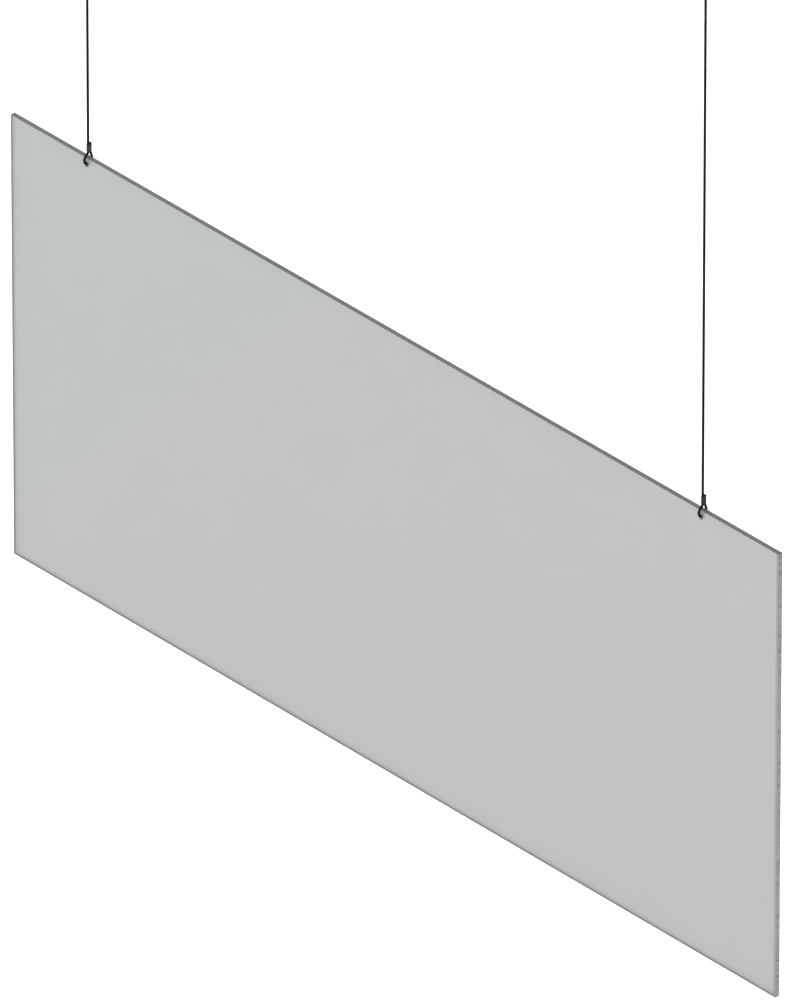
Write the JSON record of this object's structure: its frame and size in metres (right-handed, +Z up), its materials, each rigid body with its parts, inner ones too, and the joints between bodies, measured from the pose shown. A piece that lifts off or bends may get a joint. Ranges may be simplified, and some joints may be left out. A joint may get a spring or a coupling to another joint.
{
  "type": "hanging room divider panel",
  "caption": "Translucent grey rectangular sheet hung from the ceiling by wire ropes, with pressed rope loops through holes near its top edge and swivelling push-release rope grippers above.",
  "frame": {"origin": "in the ceiling plane, midway between the two ceiling studs", "axes": "+Z up into the ceiling, +X along the sheet to the right as seen from its front, -Y out of the sheet's front face"},
  "size_m": [1.2192, 0.0374, 1.4274],
  "materials": {
    "satin_sheet": "satin",
    "wire_rope": "satin",
    "ferrule_metal": "satin",
    "plated_fitting": "satin",
    "plunger_metal": "satin",
    "zinc_stud": "satin",
    "spring_steel": "satin",
    "ball_steel": "polished"
  },
  "bodies": {
    "ceiling_fixings": {"ceiling_plate_left": "plated_fitting", "ceiling_stud_left": "zinc_stud", "ceiling_cap_left": "plated_fitting", "ceiling_plate_right": "plated_fitting", "ceiling_stud_right": "zinc_stud", "ceiling_cap_right": "plated_fitting"},
    "gripper_left": {"gripper_head_left": "plated_fitting", "gripper_barrel_left": "plated_fitting", "plunger_spring_left": "spring_steel", "rope_tail_left": "wire_rope"},
    "plunger_left": {"release_plunger_left": "plunger_metal", "gripping_balls_left": "ball_steel"},
    "rope_left": {"hanging_rope_left": "wire_rope"},
    "loop_left": {"ferrule_left": "ferrule_metal", "rope_loop_left": "wire_rope"},
    "gripper_right": {"gripper_head_right": "plated_fitting", "gripper_barrel_right": "plated_fitting", "plunger_spring_right": "spring_steel", "rope_tail_right": "wire_rope"},
    "plunger_right": {"release_plunger_right": "plunger_metal", "gripping_balls_right": "ball_steel"},
    "rope_right": {"hanging_rope_right": "wire_rope"},
    "loop_right": {"ferrule_right": "ferrule_metal", "rope_loop_right": "wire_rope"},
    "divider": {"sheet": "satin_sheet"}
  },
  "joints": [
    {"name": "fore_aft_swing", "type": "hinge", "parent": "ceiling_fixings", "child": "gripper_left", "pos_m": [-0.4877, 0, -0.017], "axis": [1, 0, 0], "range_deg": [-15, 15]},
    {"name": "side_sway", "type": "hinge", "parent": "gripper_left", "child": "rope_left", "pos_m": [-0.4877, 0, -0.073], "axis": [0, 1, 0], "range_deg": [-10, 10]},
    {"name": "ferrule_flex_left", "type": "hinge", "parent": "rope_left", "child": "loop_left", "pos_m": [-0.4877, 0, -0.767], "axis": [0, 1, 0], "range_deg": [-10, 10]},
    {"name": "sheet_tilt", "type": "hinge", "parent": "loop_left", "child": "divider", "pos_m": [-0.4877, 0, -0.7868], "axis": [1, 0, 0], "range_deg": [-10, 10]},
    {"name": "fore_aft_swing_right", "type": "hinge", "parent": "ceiling_fixings", "child": "gripper_right", "pos_m": [0.4877, 0, -0.017], "axis": [1, 0, 0], "range_deg": [-15, 15]},
    {"name": "side_sway_right", "type": "hinge", "parent": "gripper_right", "child": "rope_right", "pos_m": [0.4877, 0, -0.073], "axis": [0, 1, 0], "range_deg": [-10, 10]},
    {"name": "ferrule_flex_right", "type": "hinge", "parent": "rope_right", "child": "loop_right", "pos_m": [0.4877, 0, -0.767], "axis": [0, 1, 0], "range_deg": [-10, 10]},
    {"name": "release_push_left", "type": "slide", "parent": "gripper_left", "child": "plunger_left", "axis": [0, 0, 1], "range_m": [0, 0.0025], "stiffness_N_per_m": 500, "springref_m": -0.004, "deforming": ["plunger_spring_left"]},
    {"name": "release_push_right", "type": "slide", "parent": "gripper_right", "child": "plunger_right", "axis": [0, 0, 1], "range_m": [0, 0.0025], "stiffness_N_per_m": 500, "springref_m": -0.004, "deforming": ["plunger_spring_right"]}
  ],
  "couplings": [
    {"joint": "fore_aft_swing_right", "follows": "fore_aft_swing", "ratio": 1},
    {"joint": "side_sway_right", "follows": "side_sway", "ratio": 1},
    {"joint": "ferrule_flex_left", "follows": "side_sway", "ratio": -1},
    {"joint": "ferrule_flex_right", "follows": "side_sway", "ratio": -1}
  ]
}
